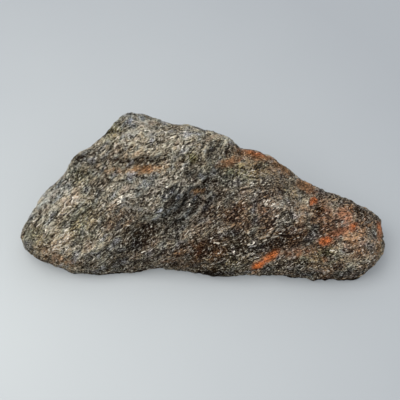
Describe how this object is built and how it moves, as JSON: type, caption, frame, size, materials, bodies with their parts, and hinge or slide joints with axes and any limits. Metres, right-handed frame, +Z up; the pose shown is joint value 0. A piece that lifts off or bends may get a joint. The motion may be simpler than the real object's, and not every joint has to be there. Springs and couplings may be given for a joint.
{
  "type": "rough nuummite stone",
  "caption": "Rough natural lump of dark foliated rock with rust stains, a leaning weathered face and a flat underside to rest on.",
  "frame": {"origin": "on the resting plane, under the middle of the stone's box", "axes": "+X along the stone's length, from its blunt foot to its tapered end; +Y from the leaning face to the back; +Z up"},
  "size_m": [0.1106, 0.046, 0.0327],
  "materials": {
    "rock": "rough, weathered, fibrous break"
  },
  "bodies": {
    "root": {"nuummite_stone": "rock"}
  },
  "joints": []
}
